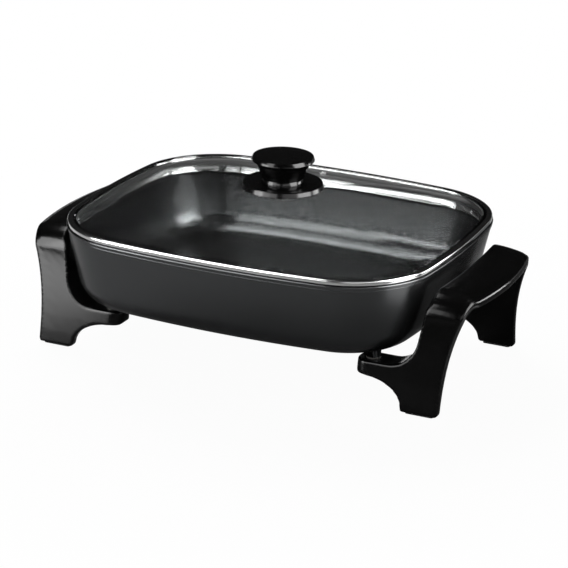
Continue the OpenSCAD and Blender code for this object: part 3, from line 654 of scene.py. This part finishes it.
def make_grip():
    """Knob with a crowned top, a drafted lip, a waist and a collar."""
    low = SHIELD_TOP - DISH
    collar = [
        (0, low), (20.7, low), (20.8, low + 0.5), (19.7, low + 4.1), (19.5, low + 4.5), (20.6, low + 5.0)]
    waist_r, flare, flare_power, waist_low, waist_h, steps = 20.9, 5.6, 1.5, 5.8, 13.2, 12
    waist = [
        (waist_r + flare * (i / steps) ** flare_power, low + waist_low + waist_h * i / steps)
        for i in range(steps + 1)]
    lip = [
        (29.3, KNOB_TOP - 6.0), (30.2, KNOB_TOP - 5.4), (30.5, KNOB_TOP - 4.6), (29.5, KNOB_TOP - 1.4),
        (29.1, KNOB_TOP - 0.95)]
    crown_r, crown_h = 28.4, 0.75
    crown = [(crown_r * k, KNOB_TOP - crown_h * k * k) for k in (1, 0.8, 0.6, 0.4, 0.2, 0)]
    return turn_piece("knob_grip_finished", collar + waist + lip + crown)


def make_shield():
    """Wide disc under the knob, with a rounded rim, a dish and a hole for the screw."""
    hole_r, dish_r, dish_z = 3.5, 23.7, SHIELD_TOP - DISH
    rim = [
        (38.8, SHIELD_Z), (39.8, SHIELD_Z + 0.3), (40.2, SHIELD_Z + 1.1), (39.0, SHIELD_TOP - 0.7),
        (38.3, SHIELD_TOP - 0.1), (37.6, SHIELD_TOP)]
    section = [(hole_r, SHIELD_Z)] + rim + [(dish_r, dish_z), (hole_r, dish_z)]
    return turn_piece("knob_shield_finished", section)


# ---------------------------------------------------------------- pieces, bodies and finishes

BODIES = frame["record"]["behaviour"]["bodies"]
BODY_OF = {node: body for body, members in BODIES.items() for node in members}
SLOT_OF = {part["node"]: part["material_slot"] for part in frame["record"]["subparts"]}
FINISHES = {
    "pan_coating": coated_metal(),
    "lid_glass": clear_glass(),
    "ring_steel": steel("ring_steel", level=0.5, roughness=0.12),
    "eyelet_steel": steel("eyelet_steel", level=0.7, roughness=0.22),
    "sheath_steel": steel("sheath_steel", level=0.35, roughness=0.45),
    "pin_steel": steel("pin_steel", level=0.72, roughness=0.2),
    "ceramic": plain_finish("ceramic", level=0.82, roughness=0.35, tint=(1, 0.97, 0.9)),
    "insert_brass": plain_finish(
        "insert_brass", level=0.6, roughness=0.35, tint=(1, 0.78, 0.42), metallic=1.0),
    "handle_plastic": moulded_plastic("handle_plastic", level=0.002, roughness=0.17, specular=0.14),
    "knob_plastic": moulded_plastic("knob_plastic", level=0.002, roughness=0.16, specular=0.22),
    "guard_plastic": moulded_plastic("guard_plastic", level=0.006, roughness=0.5, specular=0.3),
    "seal_rubber": plain_finish("seal_rubber", level=0.012, roughness=0.6),
    "foot_rubber": plain_finish("foot_rubber", level=0.02, roughness=0.75),
    "screw_steel": steel("screw_steel", level=0.6, roughness=0.3),
    "spacer_board": plain_finish("spacer_board", level=0.03, roughness=0.7, tint=(1, 0.8, 0.6)),
}
MAKERS = [
    (make_pan, "pan_body"),
    (make_underside, "pan_body"),
    (make_ring, "lid_ring"),
    (make_seal, "lid_seal"),
    (make_glass, "lid_glass"),
    (make_grip, "knob_grip"),
    (make_shield, "knob_shield"),
]
FRAMES = ["left_handle_frame", "right_handle_frame"]


def dress(piece, node):
    """Gives a piece its finish and its body, in place of the node that it stands for."""
    piece.data.materials.clear()
    piece.data.materials.append(FINISHES[SLOT_OF[node]])
    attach(piece, BODY_OF[node])
    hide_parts(node)


for make, node in MAKERS:
    dress(make(), node)
for node in FRAMES:
    dress(make_frame(node), node)
made = {node for _, node in MAKERS} | set(FRAMES)
for node in nodes:
    if node not in made:
        dress(solid_copy(node, node + "_finished"), node)

set_camera()
set_floor()
set_world()
for row in LAMPS:
    add_lamp(*row)
bpy.context.scene.view_settings.view_transform = "Standard"
